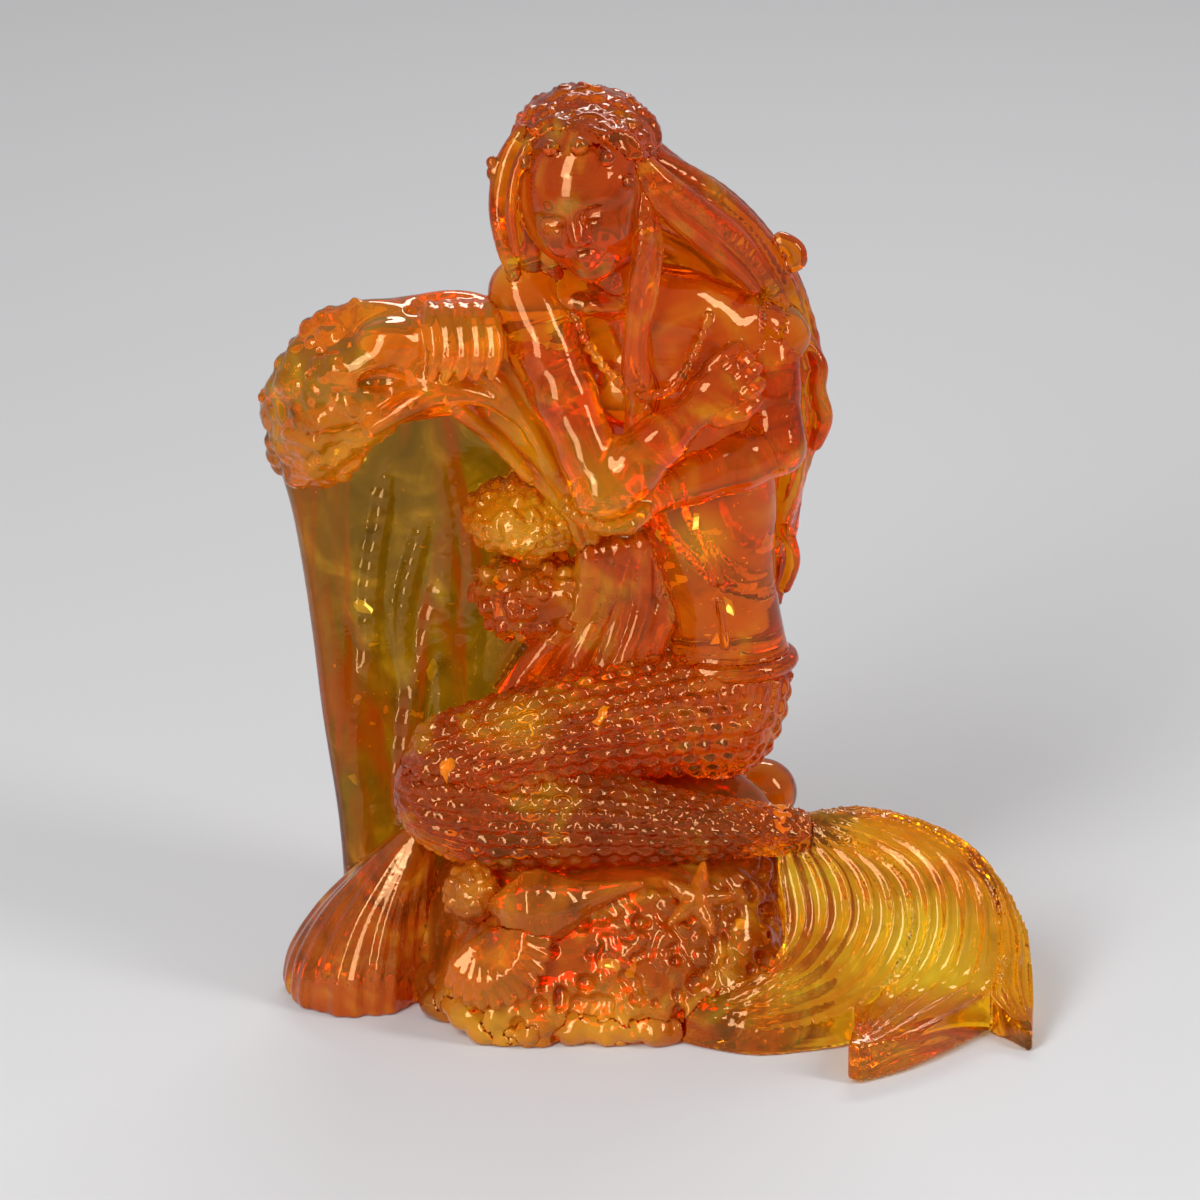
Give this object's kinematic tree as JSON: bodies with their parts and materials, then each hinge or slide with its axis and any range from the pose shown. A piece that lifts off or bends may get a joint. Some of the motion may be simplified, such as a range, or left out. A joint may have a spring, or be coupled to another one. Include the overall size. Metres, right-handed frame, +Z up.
{
  "type": "mermaid figurine",
  "caption": "Resin ornament of a seated mermaid with crossed arms on a rock, with a curling wave at one side and a wide fluke at the other.",
  "frame": {"origin": "on the flat underside of the rock, below the seat", "axes": "+Z up from the underside, -Y towards the viewer, +X towards the fluke"},
  "size_m": [0.0882, 0.0525, 0.11],
  "materials": {
    "resin_deep": "gloss",
    "resin_warm": "gloss",
    "resin_pale": "gloss",
    "resin_olive": "gloss",
    "amber": "satin"
  },
  "bodies": {
    "root": {"base_rock": "resin_deep", "boulder": "resin_deep", "tail_thigh": "resin_warm", "tail_shin": "resin_warm", "fluke_left": "resin_pale", "fluke_middle": "resin_pale", "fluke_right": "resin_pale", "torso": "resin_warm", "hip_belt": "resin_deep", "head": "resin_warm", "crown": "resin_deep", "hair_back": "resin_pale", "hair_locks": "resin_warm", "right_arm": "resin_warm", "left_arm": "resin_warm", "garland": "resin_pale", "wave_sheet": "resin_olive", "wave_crest": "resin_pale", "wave_foot": "resin_warm", "foam_upper": "resin_pale", "foam_lower": "resin_warm", "water_strands": "resin_warm", "scallop_shell": "resin_warm", "whelk_shell": "resin_warm", "starfish": "resin_warm", "coral_clump": "resin_deep", "pebbles": "resin_pale", "amber_chips": "amber"}
  },
  "joints": []
}
